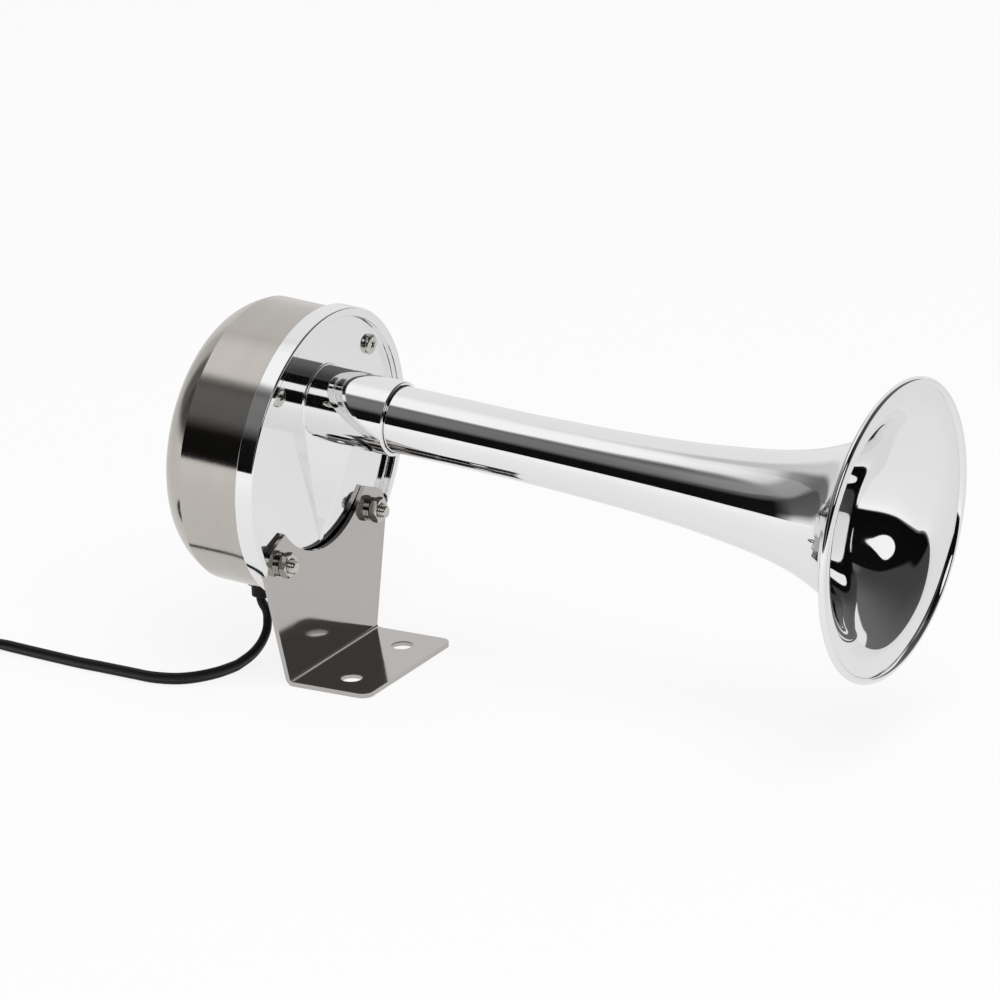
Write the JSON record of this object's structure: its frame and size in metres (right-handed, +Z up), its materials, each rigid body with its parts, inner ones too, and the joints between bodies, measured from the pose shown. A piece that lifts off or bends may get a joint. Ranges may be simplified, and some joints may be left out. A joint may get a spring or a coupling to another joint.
{
  "type": "electric trumpet horn",
  "caption": "Electric horn: a chromed flared trumpet on a round plate, a brushed steel motor drum behind it, an angle bracket and a black lead.",
  "frame": {"origin": "centre of the underside of the bracket's foot", "axes": "+Z up from the surface that the foot stands on, -Y the way the trumpet points, +X to the right of someone who looks along +Y into the trumpet's mouth"},
  "size_m": [0.1502, 0.3932, 0.1335],
  "materials": {
    "chrome": "polished",
    "brushed": "brushed",
    "zinc": "zinc plated",
    "steel": "satin",
    "rubber": "matt",
    "black_plastic": "satin",
    "fibre": "matt",
    "copper": "enamelled wire",
    "brass": "satin"
  },
  "bodies": {
    "horn": {"bracket": "brushed", "coil_bobbin": "black_plastic", "coil_winding": "copper", "connector_pin_1": "brass", "connector_pin_2": "brass", "contact_block": "fibre", "contact_terminal": "brass", "cover_post": "zinc", "cover_screw": "zinc", "cover_seal": "rubber", "cover_washer": "rubber", "fixed_contact": "brass", "front_gasket": "rubber", "front_plate": "chrome", "grommet": "rubber", "lead_coil": "black_plastic", "lead_connector": "black_plastic", "lead_run": "black_plastic", "lock_washer_3": "zinc", "lock_washer_4": "zinc", "motor_cover": "brushed", "motor_frame": "zinc", "nut_3": "zinc", "nut_4": "zinc", "plate_screw_1": "zinc", "plate_screw_2": "zinc", "pole_core": "steel", "rear_gasket": "rubber", "stud_3": "zinc", "stud_4": "zinc", "tone_bridge": "zinc", "tone_lock_nut": "zinc", "trumpet": "chrome", "trumpet_seal": "rubber", "yoke_cup": "zinc", "yoke_screw_1": "zinc", "yoke_screw_2": "zinc", "yoke_screw_3": "zinc"},
    "armature": {"armature": "steel", "armature_rivet": "steel", "diaphragm": "steel"},
    "contact_arm": {"contact_arm": "brass"},
    "tone_screw": {"tone_screw": "zinc"}
  },
  "joints": [
    {"name": "diaphragm_travel", "type": "slide", "parent": "horn", "child": "armature", "axis": [0, -0.998, -0.0628], "range_m": [-0.00025, 0.00025], "stiffness_N_per_m": 4000},
    {"name": "contact_arm_swing", "type": "hinge", "parent": "horn", "child": "contact_arm", "pos_m": [0.0377, 0.02832, 0.08077], "axis": [0, -0.0628, 0.998], "range_deg": [-1.6, 1.6]},
    {"name": "tone_screw_turn", "type": "hinge", "parent": "horn", "child": "tone_screw", "pos_m": [0.0357, 0.03161, 0.08098], "axis": [0, -0.998, -0.0628], "range_deg": [-180, 180]}
  ],
  "couplings": [
    {"joint": "contact_arm_swing", "follows": "diaphragm_travel", "rad_per_m": 107.53}
  ]
}
